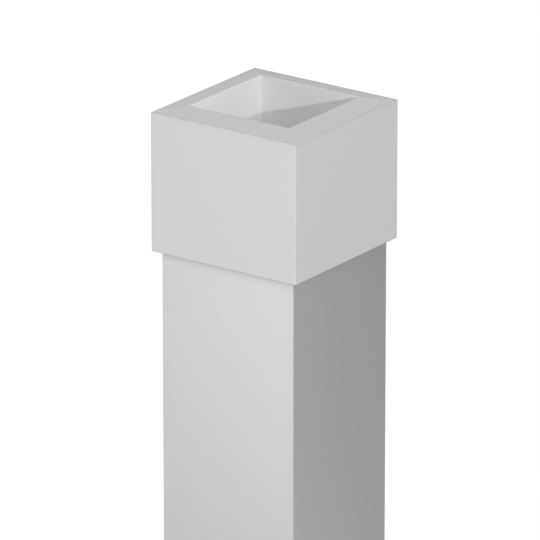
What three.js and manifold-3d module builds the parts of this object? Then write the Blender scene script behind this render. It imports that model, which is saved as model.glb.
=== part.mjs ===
// Square column wrap: a hollow square shaft of mitred boards, with a plain trim collar round its head.
// Millimetres, +Z up. The origin is the centre of the foot, which is cut square. The front faces -Y.
import * as THREE from 'three';
import { mergeVertices } from 'three/addons/utils/BufferGeometryUtils.js';
import Module from 'manifold-3d';

// The shaft is 8 in square outside, of boards 1 in thick, so its hollow is 6 in square.
const SHAFT_WIDTH = 203.2;
const SHAFT_BOARD = 25.4;
// The wrap is cut to a length of about a metre, measured to the inner edge of its top.
const LENGTH = 1000;
// The collar is trim 3/8 in thick and 7 1/4 in wide, planted on the shaft.
const COLLAR_BOARD = 9.525;
const COLLAR_HEIGHT = 184.15;
// The top of shaft and collar is one wash, which rises from the collar's face to the hollow.
const WASH_ANGLE = THREE.MathUtils.degToRad(10);
// Open joint between two boards, and the radii of the eased corners and rims.
const JOINT_GAP = 0.3;
const CORNER_RADIUS = 1.6;
const RIM_RADIUS = 1.2;
const ARC_STEPS = 6;

const SHAFT_HALF = SHAFT_WIDTH / 2;
const HOLLOW_HALF = SHAFT_HALF - SHAFT_BOARD;
const COLLAR_HALF = SHAFT_HALF + COLLAR_BOARD;
const COLLAR_BACK = SHAFT_HALF + JOINT_GAP;
const WASH_SLOPE = Math.tan(WASH_ANGLE);

const SIDES = ['front', 'right', 'back', 'left'];
const LIGHT_GREY = 0xd4d4d4;

const wasm = await Module();
wasm.setup();

// Height of the wash at a distance from the column's axis.
function washHeight(distance) {
  return LENGTH - (distance - HOLLOW_HALF) * WASH_SLOPE;
}

// Solid of a closed geometry, for the intersection of two prisms.
function toSolid(geometry) {
  const bare = geometry.clone();
  bare.deleteAttribute('normal');
  bare.deleteAttribute('uv');
  const merged = mergeVertices(bare);
  const vertProperties = new Float32Array(merged.attributes.position.array);
  const triVerts = new Uint32Array(merged.index.array);
  return new wasm.Manifold(new wasm.Mesh({ numProp: 3, vertProperties, triVerts }));
}

function toGeometry(solid) {
  const mesh = solid.getMesh();
  const geometry = new THREE.BufferGeometry();
  geometry.setAttribute('position', new THREE.BufferAttribute(mesh.vertProperties, 3));
  geometry.setIndex(new THREE.BufferAttribute(mesh.triVerts, 1));
  geometry.computeVertexNormals();
  return geometry;
}

// Plan of the front board: a trapezium between two mitres at 45 degrees, each short of the column's
// diagonal by half a joint. Each outer tip is half of the column's rounded corner.
function planPrism(outer, inner) {
  const halfJoint = JOINT_GAP / 2;
  const innerTip = inner - halfJoint * Math.SQRT2;
  const centre = outer - CORNER_RADIUS;
  const jointTurn = Math.asin(halfJoint / CORNER_RADIUS);
  const quarter = Math.PI / 4;
  const plan = new THREE.Shape();
  plan.moveTo(-centre, -outer);
  plan.absarc(centre, -centre, CORNER_RADIUS, -2 * quarter, -quarter - jointTurn, false);
  plan.lineTo(innerTip, -inner);
  plan.lineTo(-innerTip, -inner);
  plan.absarc(-centre, -centre, CORNER_RADIUS, -3 * quarter + jointTurn, -2 * quarter, false);
  return new THREE.ExtrudeGeometry(plan, { depth: LENGTH, bevelEnabled: false, curveSegments: ARC_STEPS });
}

// The points of one corner of an outline: an arc of the radius, tangent to both sides, or the bare corner.
function easedCorner(before, corner, after, radius) {
  if (radius === 0) {
    return [corner];
  }
  const arriving = corner.clone().sub(before).normalize();
  const leaving = after.clone().sub(corner).normalize();
  const setback = radius * Math.tan(arriving.angleTo(leaving) / 2);
  const start = corner.clone().addScaledVector(arriving, -setback);
  const centre = start.clone().addScaledVector(new THREE.Vector2(-arriving.y, arriving.x), radius);
  const startAngle = arriving.angle() - Math.PI / 2;
  const endAngle = leaving.angle() - Math.PI / 2;
  const arc = new THREE.EllipseCurve(centre.x, centre.y, radius, radius, startAngle, endAngle);
  return arc.getPoints(ARC_STEPS);
}

// Section of the front board across its thickness, drawn in y and z and carried along x. Its top follows
// the wash. The radii ease its four edges: foot outside, foot inside, top inside, top outside.
function sectionPrism(outer, inner, bottom, radii) {
  const corners = [
    new THREE.Vector2(-outer, bottom),
    new THREE.Vector2(-inner, bottom),
    new THREE.Vector2(-inner, washHeight(inner)),
    new THREE.Vector2(-outer, washHeight(outer)),
  ];
  const outline = corners.flatMap((corner, index) => {
    const before = corners[(index + 3) % 4];
    const after = corners[(index + 1) % 4];
    return easedCorner(before, corner, after, radii[index]);
  });
  const section = new THREE.Shape(outline);
  const settings = { depth: 2 * outer, bevelEnabled: false, curveSegments: ARC_STEPS };
  const prism = new THREE.ExtrudeGeometry(section, settings);
  // The extrusion runs along +Z with the outline in XY: turn it to run along +X with the outline in YZ.
  const toColumn = new THREE.Matrix4().makeBasis(
    new THREE.Vector3(0, 1, 0),
    new THREE.Vector3(0, 0, 1),
    new THREE.Vector3(1, 0, 0),
  );
  prism.applyMatrix4(toColumn);
  prism.translate(-outer, 0, 0);
  return prism;
}

// The shaft's boards are cut square at the foot, and only the rim of the hollow is eased.
function shaftBoard() {
  const plan = toSolid(planPrism(SHAFT_HALF, HOLLOW_HALF));
  const section = toSolid(sectionPrism(SHAFT_HALF, HOLLOW_HALF, 0, [0, 0, RIM_RADIUS, 0]));
  return toGeometry(plan.intersect(section));
}

// The collar's boards have their outer edges eased, above and below, and sit flat on the shaft.
function collarBoard() {
  const bottom = washHeight(COLLAR_HALF) - COLLAR_HEIGHT;
  const plan = toSolid(planPrism(COLLAR_HALF, COLLAR_BACK));
  const section = toSolid(sectionPrism(COLLAR_HALF, COLLAR_BACK, bottom, [RIM_RADIUS, 0, 0, RIM_RADIUS]));
  return toGeometry(plan.intersect(section));
}

// Four like boards round the axis, each turned a quarter from the one before.
function boardRing(name, makeBoard) {
  const ring = new THREE.Group();
  SIDES.forEach((side, index) => {
    const material = new THREE.MeshStandardMaterial({ color: LIGHT_GREY, roughness: 0.6, metalness: 0 });
    const board = new THREE.Mesh(makeBoard(), material);
    board.name = `${name}_${side}`;
    board.rotation.z = (index * Math.PI) / 2;
    ring.add(board);
  });
  return ring;
}

const columnWrap = new THREE.Group();
columnWrap.add(boardRing('shaft_board', shaftBoard));
columnWrap.add(boardRing('collar_board', collarBoard));

export default columnWrap;
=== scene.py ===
import math

import bpy
import numpy as np
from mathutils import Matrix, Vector


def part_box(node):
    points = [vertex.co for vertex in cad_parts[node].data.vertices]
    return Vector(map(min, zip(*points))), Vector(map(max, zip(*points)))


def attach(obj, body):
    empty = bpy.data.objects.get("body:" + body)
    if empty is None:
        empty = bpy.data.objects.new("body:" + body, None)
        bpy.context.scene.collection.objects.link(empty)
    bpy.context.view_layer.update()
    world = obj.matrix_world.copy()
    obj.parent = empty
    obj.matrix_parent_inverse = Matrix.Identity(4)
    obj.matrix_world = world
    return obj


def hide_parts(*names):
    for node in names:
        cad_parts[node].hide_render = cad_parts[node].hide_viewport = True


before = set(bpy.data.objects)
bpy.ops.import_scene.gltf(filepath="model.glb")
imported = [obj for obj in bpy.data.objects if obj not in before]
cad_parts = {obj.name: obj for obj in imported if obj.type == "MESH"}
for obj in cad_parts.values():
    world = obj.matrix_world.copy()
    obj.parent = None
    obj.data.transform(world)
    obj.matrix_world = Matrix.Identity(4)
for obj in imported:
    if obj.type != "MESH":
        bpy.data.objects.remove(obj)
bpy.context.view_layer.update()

# Shaft: four boards of light grey cellular PVC, an inch thick, that close into a hollow square.
# Their long edges are mitred and glued, the outer corners sanded to a small round, and the foot is
# sawn square. At the head all four are planed to one wash that falls away from the hollow.
MM = 0.001
SIDES = ("front", "right", "back", "left")
QUARTER_TURN = math.pi / 2
MITRE_ANGLE = math.pi / 4
WASH_SLOPE = math.tan(math.radians(10.0))
GLUE_LINE = 0.02 * MM
CORNER_ROUND = 1.6 * MM
INNER_ROUND = 0.2 * MM
SAWN_ROUND = 0.3 * MM
PLANED_ROUND = 0.05 * MM
HOLLOW_ROUND = 0.4 * MM
ARC_STEPS = 6

shaft_low, shaft_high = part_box("shaft_board_front")
shaft_half = -shaft_low.y
hollow_half = -shaft_high.y


def wash_height(distance):
    """Height of the wash at a distance from the axis: a straight fall from the rim of the hollow.

    The rim's own round takes off the very top, so the wash starts above the highest point by what a round
    of that radius takes off between a plumb face and the slope.
    """
    trimmed = HOLLOW_ROUND * (WASH_SLOPE + math.hypot(1.0, WASH_SLOPE) - 1.0)
    return shaft_high.z + trimmed - (distance - hollow_half) * WASH_SLOPE


CLOSEST_STATION = 0.4 * MM
DOUBLINGS = 6
NEARLY_HALF = 0.45


def graded_run(length, step):
    """Stations from 0 to length, a step apart, that close up in doubling distances towards both ends."""
    close = CLOSEST_STATION * 2.0 ** np.arange(DOUBLINGS)
    close = close[close < length * NEARLY_HALF]
    even = np.linspace(0.0, length, max(2, int(length / step) + 1))[1:-1]
    if len(close):
        even = even[(even > close[-1]) & (even < length - close[-1])]
    return np.concatenate(([0.0], close, even, (length - close)[::-1], [length]))


def eased_section(corners, radii, step):
    """Closed outline of a board's section, as distance from the axis and height.

    Each corner is an arc of its radius, tangent to both sides, and each side between two arcs is a
    straight graded run.
    """
    corners = np.asarray(corners, float)
    radii = np.asarray(radii)
    leaving = np.roll(corners, -1, axis=0) - corners
    leaving /= np.linalg.norm(leaving, axis=1)[:, None]
    arriving = np.roll(leaving, 1, axis=0)
    turn = np.arccos(np.clip((arriving * leaving).sum(axis=1), -1.0, 1.0))
    setback = radii * np.tan(turn / 2)
    start = corners - arriving * setback[:, None]
    end = corners + leaving * setback[:, None]
    inward = np.stack((-arriving[:, 1], arriving[:, 0]), axis=1)
    centre = start + inward * radii[:, None]
    outline = []
    for index in range(len(corners)):
        angle = np.linspace(0.0, turn[index], ARC_STEPS + 1)[:, None]
        spoke = start[index] - centre[index]
        square = np.array((-spoke[1], spoke[0]))
        outline.append(centre[index] + spoke * np.cos(angle) + square * np.sin(angle))
        following = (index + 1) % len(corners)
        side = start[following] - end[index]
        length = np.linalg.norm(side)
        run = graded_run(length, step)[1:-1, None] / length
        outline.append(end[index] + side * run)
    return np.concatenate(outline)


def mitred_board(section, outer, step):
    """Grid of one front board: its section carried along a side of a rounded square, mitre to mitre.

    At a distance d from the axis the side runs straight for d less the corner's radius, then turns 45
    degrees to the mitre. The radius is the column's at the outer face and shrinks with depth. The whole
    is drawn in along the side by half a glue line at each mitre.
    """
    distance, height = section[:, :1], section[:, 1:]
    radius = np.maximum(CORNER_ROUND - (outer - distance), INNER_ROUND)
    straight = distance - radius
    share = graded_run(outer, step) / outer
    angle = np.linspace(0.0, MITRE_ANGLE, ARC_STEPS + 1)[1:]
    half_share = np.concatenate((share, np.ones_like(angle)))
    half_angle = np.concatenate((np.zeros_like(share), angle))
    share = np.concatenate((-half_share[:0:-1], half_share))
    angle = np.concatenate((-half_angle[:0:-1], half_angle))
    x = (straight * share + radius * np.sin(angle)) * (1.0 - GLUE_LINE / (math.sqrt(2.0) * distance))
    y = -(straight + radius * np.cos(angle))
    return np.stack((x, y, np.broadcast_to(height, x.shape)), axis=-1)


CREASE_ANGLE = math.radians(35.0)


def board_mesh(name, grid, quarter, marks):
    """Closed mesh of a board's grid, turned by quarters about the axis, with point marks as attributes.

    The grid closes on itself round the section. Each mitre is shut by a flat fan of triangles from the
    middle of the section to its outline.
    """
    rings, stations = grid.shape[:2]
    cosine = math.cos(quarter * QUARTER_TURN)
    sine = math.sin(quarter * QUARTER_TURN)
    turn = np.array(((cosine, sine, 0.0), (-sine, cosine, 0.0), (0.0, 0.0, 1.0)))
    middles = np.stack((grid[:, 0].mean(axis=0), grid[:, -1].mean(axis=0)))
    points = np.concatenate((grid.reshape(-1, 3), middles)) @ turn
    index = np.arange(rings * stations).reshape(rings, stations)
    after = np.roll(index, -1, axis=0)
    quads = np.stack((index[:, :-1], index[:, 1:], after[:, 1:], after[:, :-1]), axis=-1).reshape(-1, 4)
    first_middle = np.full(rings, index.size)
    first_cap = np.stack((index[:, 0], after[:, 0], first_middle), axis=1)
    last_cap = np.stack((after[:, -1], index[:, -1], first_middle + 1), axis=1)
    mesh = bpy.data.meshes.new(name)
    mesh.from_pydata(points.tolist(), [], quads.tolist() + first_cap.tolist() + last_cap.tolist())
    for label, values in marks.items():
        mark = mesh.attributes.new(label, "FLOAT", "POINT")
        mark.data.foreach_set("value", np.append(values, (0.0, 0.0)).astype(np.float32))
    mesh.shade_smooth()
    mesh.set_sharp_from_angle(angle=CREASE_ANGLE)
    mesh.update()
    return mesh


def shown_piece(name, mesh, material, node):
    """Puts a mesh in the scene as the piece that stands for a solid, and rides it on the part."""
    piece = bpy.data.objects.new(name, mesh)
    mesh.materials.append(material)
    bpy.context.scene.collection.objects.link(piece)
    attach(piece, "root")
    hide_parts(node)
    return piece


def board_ring(group, grid, marks, material):
    """Four like boards by side, each a quarter turn about the axis on from the one before."""
    boards = {}
    for quarter, side in enumerate(SIDES):
        node = f"{group}_board_{side}"
        mesh = board_mesh(f"{group}_{side}", grid, quarter, marks)
        boards[side] = shown_piece(f"finished_{node}", mesh, material, node)
    return boards


def place(tree, kind, inputs=None, **settings):
    """Adds a shader node, sets its settings, then fills or links its inputs by name or number."""
    made = tree.nodes.new(kind)
    for label, value in settings.items():
        setattr(made, label, value)
    for label, value in (inputs or {}).items():
        if isinstance(value, bpy.types.NodeSocket):
            tree.links.new(value, made.inputs[label])
        else:
            made.inputs[label].default_value = value
    return made


def where_on_part(tree):
    """Place of the shaded point in the part's own frame."""
    return place(tree, "ShaderNodeTexCoord").outputs["Object"]


def marked(tree, label):
    """Value of one of the mesh's point marks at the shaded point."""
    return place(tree, "ShaderNodeAttribute", attribute_name=label).outputs["Fac"]


def noise(tree, where, scale, detail):
    """Fractal noise from 0 to 1, in features about one over the scale wide."""
    inputs = {"Vector": where, "Scale": scale, "Detail": detail}
    return place(tree, "ShaderNodeTexNoise", inputs).outputs["Fac"]


def maths(tree, operation, *values):
    """Result of a math node on the numbers or sockets given."""
    return place(tree, "ShaderNodeMath", dict(enumerate(values)), operation=operation).outputs[0]


def scaled(tree, colour, level):
    """Colour times a level."""
    inputs = {0: colour, "Scale": level}
    return place(tree, "ShaderNodeVectorMath", inputs, operation="SCALE").outputs[0]


def new_group(name, inputs, outputs):
    """Empty shader node group with named sockets: the tree, its inputs and its outputs."""
    tree = bpy.data.node_groups.new(name, "ShaderNodeTree")
    for label, kind in inputs.items():
        tree.interface.new_socket(label, in_out="INPUT", socket_type=kind)
    for label, kind in outputs.items():
        tree.interface.new_socket(label, in_out="OUTPUT", socket_type=kind)
    return tree, tree.nodes.new("NodeGroupInput").outputs, tree.nodes.new("NodeGroupOutput").inputs


CLOUD_SCALE = 6.5
SPECK_SCALE = 900.0
NOISE_MIDDLE = 0.5


def board_tone_group():
    """Grey of a calendered board: soft clouds a hand wide and faint specks a millimetre wide.

    The grey is scaled by 1 plus each noise, less its middle, times the amount given for it.
    """
    tree, given, result = new_group(
        "board_tone",
        {"Grey": "NodeSocketColor", "Cloud": "NodeSocketFloat", "Speck": "NodeSocketFloat"},
        {"Color": "NodeSocketColor"},
    )
    where = where_on_part(tree)
    cloud = noise(tree, where, CLOUD_SCALE, detail=2.0)
    speck = noise(tree, where, SPECK_SCALE, detail=1.0)
    level = 1.0
    for value, amount in ((cloud, given["Cloud"]), (speck, given["Speck"])):
        centred = maths(tree, "SUBTRACT", value, NOISE_MIDDLE)
        level = maths(tree, "MULTIPLY_ADD", centred, amount, level)
    tree.links.new(scaled(tree, given["Grey"], level), result["Color"])
    return tree


STIPPLE_SCALE = 1500.0
STIPPLE_SHARE = 0.45
LINE_SHEEN = 0.12


def mill_relief_group():
    """Surface of an extruded board: long shallow mill lines under a fine stipple.

    The lines are noise on a place that is stretched by so many lines to the metre on each axis, and the
    roughness rises with them from the satin given.
    """
    tree, given, result = new_group(
        "mill_relief",
        {"Stretch": "NodeSocketVector", "Satin": "NodeSocketFloat"},
        {"Height": "NodeSocketFloat", "Roughness": "NodeSocketFloat"},
    )
    where = where_on_part(tree)
    drawn = place(tree, "ShaderNodeVectorMath", {0: where, 1: given["Stretch"]}, operation="MULTIPLY")
    lines = noise(tree, drawn.outputs[0], 1.0, detail=2.0)
    stipple = noise(tree, where, STIPPLE_SCALE, detail=2.0)
    height = maths(tree, "MULTIPLY_ADD", stipple, STIPPLE_SHARE, lines)
    sheen = maths(tree, "MULTIPLY_ADD", lines, LINE_SHEEN, given["Satin"])
    tree.links.new(height, result["Height"])
    tree.links.new(sheen, result["Roughness"])
    return tree


GRIME_AND_SHADE_SCALE = 160.0


def edge_grime_and_shade_group():
    """Handling marks along the outer edges and a painted dark line of shade on a rim: the arris mark, broken
    up by a fine noise, dulls the colour.
    """
    tree, given, result = new_group(
        "edge_grime_and_shade",
        {"Color": "NodeSocketColor", "Grime and shade": "NodeSocketFloat"},
        {"Color": "NodeSocketColor"},
    )
    broken = noise(tree, where_on_part(tree), GRIME_AND_SHADE_SCALE, detail=3.0)
    mask = maths(tree, "MULTIPLY", marked(tree, "arris"), broken)
    loss = maths(tree, "MULTIPLY", mask, given["Grime and shade"])
    kept = maths(tree, "SUBTRACT", 1.0, loss)
    tree.links.new(scaled(tree, given["Color"], kept), result["Color"])
    return tree


CELL_SCALE = 1100.0
CELL_BOTTOM = 0.15
CELL_LIP = 0.5


def cut_cells_group():
    """Open cells of a sawn or planed face: pits half a millimetre wide, darker and lower than the skin.

    A pit is deepest within CELL_BOTTOM of the middle of its cell, and rises evenly to its lip.
    """
    tree, given, result = new_group(
        "cut_cells",
        {"Color": "NodeSocketColor", "Height": "NodeSocketFloat", "Dark": "NodeSocketFloat"},
        {"Color": "NodeSocketColor", "Height": "NodeSocketFloat"},
    )
    cells = place(tree, "ShaderNodeTexVoronoi", {"Vector": where_on_part(tree), "Scale": CELL_SCALE})
    slope = {"From Min": CELL_BOTTOM, "From Max": CELL_LIP, "To Min": 1.0, "To Max": 0.0}
    pit = place(tree, "ShaderNodeMapRange", {"Value": cells.outputs["Distance"], **slope}).outputs[0]
    mask = maths(tree, "MULTIPLY", pit, marked(tree, "cut"))
    loss = maths(tree, "MULTIPLY", mask, given["Dark"])
    kept = maths(tree, "SUBTRACT", 1.0, loss)
    lowered = maths(tree, "SUBTRACT", given["Height"], mask)
    tree.links.new(scaled(tree, given["Color"], kept), result["Color"])
    tree.links.new(lowered, result["Height"])
    return tree


BOARD_TONE = board_tone_group()
MILL_RELIEF = mill_relief_group()
EDGE_GRIME_AND_SHADE = edge_grime_and_shade_group()
CUT_CELLS = cut_cells_group()

BOARD_GREY = (0.62, 0.62, 0.62, 1.0)
CLOUD_AMOUNT = 0.02
SPECK_AMOUNT = 0.025
BOARD_SATIN = 0.62
BOARD_SPECULAR = 0.25
CELL_DARK = 0.08
RELIEF_STRENGTH = 0.1
RELIEF_DEPTH = 0.2 * MM


def board_material(name, stretch, grime_and_shade):
    """Matte board: clouded grey, dulled along its edges by handling marks and painted shade, with mill lines
    that run by the stretch.
    """
    material = bpy.data.materials.new(name)
    material.use_nodes = True
    tree = material.node_tree
    shader = tree.nodes["Principled BSDF"]
    tone_inputs = {"Grey": BOARD_GREY, "Cloud": CLOUD_AMOUNT, "Speck": SPECK_AMOUNT}
    tone = place(tree, "ShaderNodeGroup", tone_inputs, node_tree=BOARD_TONE).outputs
    edge_inputs = {"Color": tone["Color"], "Grime and shade": grime_and_shade}
    edge = place(tree, "ShaderNodeGroup", edge_inputs, node_tree=EDGE_GRIME_AND_SHADE).outputs
    relief_inputs = {"Stretch": stretch, "Satin": BOARD_SATIN}
    relief = place(tree, "ShaderNodeGroup", relief_inputs, node_tree=MILL_RELIEF).outputs
    cell_inputs = {"Color": edge["Color"], "Height": relief["Height"], "Dark": CELL_DARK}
    cells = place(tree, "ShaderNodeGroup", cell_inputs, node_tree=CUT_CELLS).outputs
    bump_inputs = {"Height": cells["Height"], "Strength": RELIEF_STRENGTH, "Distance": RELIEF_DEPTH}
    bump = place(tree, "ShaderNodeBump", bump_inputs).outputs
    shader.inputs["Specular IOR Level"].default_value = BOARD_SPECULAR
    tree.links.new(cells["Color"], shader.inputs["Base Color"])
    tree.links.new(relief["Roughness"], shader.inputs["Roughness"])
    tree.links.new(bump["Normal"], shader.inputs["Normal"])
    return material


RIM_FADE = 2.0 * MM
CORNER_FADE = 1.5 * MM
CORNER_SHARE = 0.3
MARK_DEPTH = 4.0 * MM


def arris_mark(grid, outer, rim=None):
    """1 on the outer rim at the height given, if there is one, and CORNER_SHARE on the upright corners.

    Each falls off as the exponential of the distance from its edge, and ends at a depth behind the face.
    """
    across = np.abs(grid[..., 0])
    outward = -grid[..., 1]
    depth = outer - np.maximum(across, outward)
    from_corner = np.maximum(outer - np.minimum(across, outward), 0.0)
    mark = CORNER_SHARE * np.exp(-from_corner / CORNER_FADE)
    if rim is not None:
        mark = np.maximum(mark, np.exp(-np.abs(grid[..., 2] - rim) / RIM_FADE))
    return mark * (depth < MARK_DEPTH)


WASH_REACH = 0.2 * MM
SAWN_REACH = 0.1 * MM


def cut_mark(grid, bottom):
    """1 on the planed wash and on the sawn edge at the bottom, 0 on the skin of the board."""
    distance = np.maximum(np.abs(grid[..., 0]), -grid[..., 1])
    height = grid[..., 2]
    planed = wash_height(distance) - height < WASH_REACH
    sawn = height - bottom < SAWN_REACH
    return (planed | sawn).astype(float)


MILL_ACROSS = 420.0
MILL_ALONG = 6.0
SHAFT_GRIME = 0.05
SIDE_STEP = 20.0 * MM

shaft_material = board_material("shaft_grey_board", (MILL_ACROSS, MILL_ACROSS, MILL_ALONG), SHAFT_GRIME)
shaft_section = eased_section(
    (
        (hollow_half, 0.0),
        (shaft_half, 0.0),
        (shaft_half, wash_height(shaft_half)),
        (hollow_half, wash_height(hollow_half)),
    ),
    (SAWN_ROUND, SAWN_ROUND, PLANED_ROUND, HOLLOW_ROUND),
    step=25.0 * MM,
)
shaft_grid = mitred_board(shaft_section, shaft_half, SIDE_STEP)
shaft_marks = {"arris": arris_mark(shaft_grid, shaft_half), "cut": cut_mark(shaft_grid, 0.0)}
shaft_boards = board_ring("shaft", shaft_grid, shaft_marks, shaft_material)

# Collar: four trim boards of the same PVC, three eighths of an inch thick, planted on the shaft's head.
# They run level round it, mitred and glued at the corners, with their outer edges eased and their tops
# planed flush with the shaft's wash.
RIM_ROUND = 1.2 * MM
# The collar's strong grime also paints a dark line of shade along its top outer rim, where the eased edge
# would catch the light.
COLLAR_GRIME_AND_SHADE = 0.26

collar_low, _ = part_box("collar_board_front")
collar_half = -collar_low.y
collar_bed = shaft_half + GLUE_LINE
collar_top = wash_height(collar_half)
collar_material = board_material("collar_grey_trim", (MILL_ALONG, MILL_ALONG, MILL_ACROSS), COLLAR_GRIME_AND_SHADE)
collar_section = eased_section(
    (
        (collar_bed, collar_low.z),
        (collar_half, collar_low.z),
        (collar_half, collar_top),
        (collar_bed, wash_height(collar_bed)),
    ),
    (SAWN_ROUND, RIM_ROUND, RIM_ROUND, PLANED_ROUND),
    step=15.0 * MM,
)
collar_grid = mitred_board(collar_section, collar_half, SIDE_STEP)
# On the top rim the arris mark carries the painted dark line of shade; on the corners it carries handling
# marks.
collar_marks = {
    "arris": arris_mark(collar_grid, collar_half, collar_top),
    "cut": cut_mark(collar_grid, collar_low.z),
}
collar_boards = board_ring("collar", collar_grid, collar_marks, collar_material)

# Floor: a plain pale studio floor that runs far enough to fill the view behind the column.
# It glows white for the camera alone, like a light table, but not under the column, and a soft shade
# gathers where the foot stands on it.
FLOOR_REACH = 30.0
FLOOR_DROP = 0.2 * MM
FLOOR_PALE = (0.9, 0.9, 0.9, 1.0)
FLOOR_ROUGHNESS = 0.9
FLOOR_GLOW = 0.65
SHADE_REACH = 0.4

floor_mesh = bpy.data.meshes.new("studio_floor")
floor_edge = np.array(((-1, -1), (1, -1), (1, 1), (-1, 1))) * FLOOR_REACH
floor_points = np.column_stack((floor_edge, np.full(4, -FLOOR_DROP)))
floor_mesh.from_pydata(floor_points.tolist(), [], [(0, 1, 2, 3)])
floor = bpy.data.objects.new("studio_floor", floor_mesh)
floor_material = bpy.data.materials.new("pale_floor")
floor_material.use_nodes = True
floor_tree = floor_material.node_tree
floor_shader = floor_tree.nodes["Principled BSDF"]
floor_split = place(floor_tree, "ShaderNodeSeparateXYZ", {0: where_on_part(floor_tree)}).outputs
floor_sides = [maths(floor_tree, "ABSOLUTE", floor_split[axis]) for axis in ("X", "Y")]
floor_square = maths(floor_tree, "MAXIMUM", *floor_sides)
floor_open = maths(floor_tree, "GREATER_THAN", floor_square, shaft_half)
floor_seen = place(floor_tree, "ShaderNodeLightPath").outputs["Is Camera Ray"]
floor_lit = maths(floor_tree, "MULTIPLY", floor_open, floor_seen)
floor_shade = place(floor_tree, "ShaderNodeAmbientOcclusion", {"Distance": SHADE_REACH}, samples=8)
floor_glow = maths(floor_tree, "MULTIPLY", floor_lit, floor_shade.outputs["AO"])
floor_shader.inputs["Base Color"].default_value = FLOOR_PALE
floor_shader.inputs["Roughness"].default_value = FLOOR_ROUGHNESS
floor_shader.inputs["Specular IOR Level"].default_value = 0.0
floor_shader.inputs["Emission Strength"].default_value = FLOOR_GLOW
floor_tree.links.new(floor_glow, floor_shader.inputs["Emission Color"])
floor_mesh.materials.append(floor_material)
bpy.context.scene.collection.objects.link(floor)

# Light: a white studio whose air lights everything softly, and round softboxes set about the column.
# Flags keep each softbox to the boards in its list, so that the hollow, the collar, the shaft and the
# planed top are each lit by themselves.
WHITE = (1.0, 1.0, 1.0, 1.0)
AIR_STRENGTH = 0.4
AIR_SHOWN = 1.1

world = bpy.data.worlds.new("studio_air")
bpy.context.scene.world = world
world.use_nodes = True
air = world.node_tree
air_light = air.nodes["Background"]
air_light.inputs["Color"].default_value = WHITE
air_light.inputs["Strength"].default_value = AIR_STRENGTH
air_shown = place(air, "ShaderNodeBackground", {"Color": WHITE, "Strength": AIR_SHOWN})
air_seen = place(air, "ShaderNodeLightPath").outputs["Is Camera Ray"]
air_inputs = {0: air_seen, 1: air_light.outputs[0], 2: air_shown.outputs[0]}
air_mix = place(air, "ShaderNodeMixShader", air_inputs)
air.links.new(air_mix.outputs[0], air.nodes["World Output"].inputs["Surface"])


def bearing(azimuth, elevation):
    """Unit vector to a point round the column: azimuth 0 is in front of it, 90 to its right."""
    turn, rise = math.radians(azimuth), math.radians(elevation)
    return Vector((math.sin(turn) * math.cos(rise), -math.cos(turn) * math.cos(rise), math.sin(rise)))


HEAD = Vector((0.0, 0.0, shaft_high.z))
FULL_BEAM = 180.0


def lamp(name, stand, size, power, receivers, aim=HEAD, beam=FULL_BEAM):
    """Round softbox that stands at a point, faces the point it aims at and lights only its receivers.

    Its light keeps within the beam, an angle in degrees about the line of its aim.
    """
    data = bpy.data.lights.new(name, "AREA")
    data.shape = "DISK"
    data.size = size
    data.energy = power
    data.spread = math.radians(beam)
    holder = bpy.data.objects.new(name, data)
    holder.location = stand
    holder.rotation_euler = (Vector(stand) - Vector(aim)).to_track_quat("Z", "Y").to_euler()
    holder.visible_camera = False
    bpy.context.scene.collection.objects.link(holder)
    lit = bpy.data.collections.new(f"lit_by_{name}")
    for piece in receivers:
        lit.objects.link(piece)
    holder.light_linking.receiver_collection = lit


FAR = 6.0
NEAR = 1.4
near_collar = [collar_boards["front"], collar_boards["right"]]
far_collar = [collar_boards["back"], collar_boards["left"]]
far_shaft = [shaft_boards["back"], shaft_boards["left"]]
shaft_front = [shaft_boards["front"]]
shaft_right = [shaft_boards["right"]]
front_boards = [collar_boards["front"], shaft_boards["front"]]
back_boards = [collar_boards["back"], shaft_boards["back"]]
left_boards = [collar_boards["left"], shaft_boards["left"]]

# A large softbox for the two faces of the collar that the viewer sees.
RIGHT_STAND = HEAD + bearing(50.0, 31.0) * FAR
lamp("right_lamp", RIGHT_STAND, size=2.0, power=294.0, receivers=near_collar)

# A small low sun from the near right, which throws the shadow in the hollow, and a fill for each wall.
SUN_STAND = HEAD + bearing(56.0, 15.0) * FAR
SUN_SIZE = 0.084
BACK_FILL_STAND = HEAD + bearing(54.0, 32.0) * NEAR
LEFT_FILL_STAND = HEAD + bearing(35.0, 28.0) * NEAR
FILL_SIZE = 0.1
lamp("sun_on_back", SUN_STAND, size=SUN_SIZE, power=138.0, receivers=back_boards)
lamp("sun_on_left", SUN_STAND, size=SUN_SIZE, power=102.0, receivers=left_boards)
lamp("fill_on_back", BACK_FILL_STAND, size=FILL_SIZE, power=15.4, receivers=back_boards)
lamp("fill_on_left", LEFT_FILL_STAND, size=FILL_SIZE, power=20.6, receivers=left_boards)

# The front of the column, with a soft shade under the collar.
FRONT_STAND = HEAD + bearing(-10.0, -6.0) * FAR
EAVES_STAND = (0.15, -0.9, 1.45)
EAVES_AIM = (0.0, -0.1, 0.75)
SHAFT_STAND = (0.32, -0.8, 0.75)
SHAFT_AIM = (0.0, -0.1, 0.7)
lamp("front_lamp", FRONT_STAND, size=1.0, power=85.0, receivers=front_boards)
lamp("eaves_lamp", EAVES_STAND, size=0.9, power=3.83, receivers=shaft_front, aim=EAVES_AIM)
lamp("shaft_lamp", SHAFT_STAND, size=0.2, power=1.54, receivers=shaft_front, aim=SHAFT_AIM)

# The right side of the shaft, in a soft half-light from the front and from the foot.
SIDE_STAND = (0.4, -0.3, 0.93)
SIDE_AIM = (0.1, 0.0, 0.65)
FOOT_STAND = (0.35, -0.65, 0.05)
FOOT_AIM = (0.1, 0.0, 0.3)
lamp("side_lamp", SIDE_STAND, size=0.2, power=0.24, receivers=shaft_right, aim=SIDE_AIM)
lamp("foot_lamp", FOOT_STAND, size=0.3, power=4.0, receivers=shaft_right, aim=FOOT_AIM)

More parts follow.
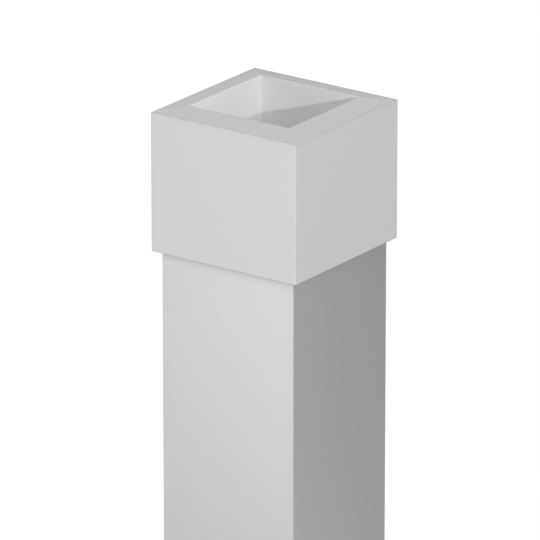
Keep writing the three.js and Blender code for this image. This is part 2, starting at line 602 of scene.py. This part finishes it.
# The planed top of the two near boards, from straight above.
OVERHEAD_STAND = HEAD + bearing(0.0, 90.0) * FAR
OVERHEAD_SIZE = 1.5
lamp("rim_on_front", OVERHEAD_STAND, size=OVERHEAD_SIZE, power=92.0, receivers=shaft_front)
lamp("rim_on_right", OVERHEAD_STAND, size=OVERHEAD_SIZE, power=183.0, receivers=shaft_right)

# The two sides that face away from the viewer, from below the level of the top, and a narrow beam from
# above that shades the shaft under the collar.
BACK_STAND = HEAD + bearing(238.0, -8.0) * FAR
BACK_SIZE = 2.0
BEAM_STAND = (-1.05, 0.95, 1.75)
BEAM_AIM = (0.0, 0.0, 0.42)
NARROW_BEAM = 26.0
lamp("back_lamp", BACK_STAND, size=BACK_SIZE, power=280.0, receivers=far_collar)
lamp("back_shaft_lamp", BACK_STAND, size=BACK_SIZE, power=165.0, receivers=far_shaft)
lamp("back_eaves_lamp", BEAM_STAND, size=0.25, power=0.4, receivers=far_shaft, aim=BEAM_AIM, beam=NARROW_BEAM)

# Camera: a long lens at the photograph's angle, so far off that upright edges stay nearly parallel.
# It aims at the upper part of the column, and the picture's lower edge cuts the shaft off.
PHOTO_AZIMUTH = 35.63
PHOTO_ELEVATION = 19.61
PHOTO_LENS = 475.3
SENSOR_WIDTH = 36.0
PHOTO_DISTANCE = 9.0
FURTHEST_SEEN = 200.0
AIM_RIGHT = -5.87 * MM
AIM_HEIGHT = 775.5 * MM

camera_data = bpy.data.cameras.new("photo_camera")
camera_data.sensor_width = SENSOR_WIDTH
camera_data.lens = PHOTO_LENS
camera_data.clip_end = FURTHEST_SEEN
camera = bpy.data.objects.new("photo_camera", camera_data)
to_camera = bearing(PHOTO_AZIMUTH, PHOTO_ELEVATION)
to_right = bearing(PHOTO_AZIMUTH + 90.0, 0.0)
camera_aim = to_right * AIM_RIGHT + Vector((0.0, 0.0, AIM_HEIGHT))
camera.location = camera_aim + to_camera * PHOTO_DISTANCE
camera.rotation_euler = to_camera.to_track_quat("Z", "Y").to_euler()
bpy.context.scene.collection.objects.link(camera)
bpy.context.scene.camera = camera
bpy.context.scene.view_settings.view_transform = "Standard"
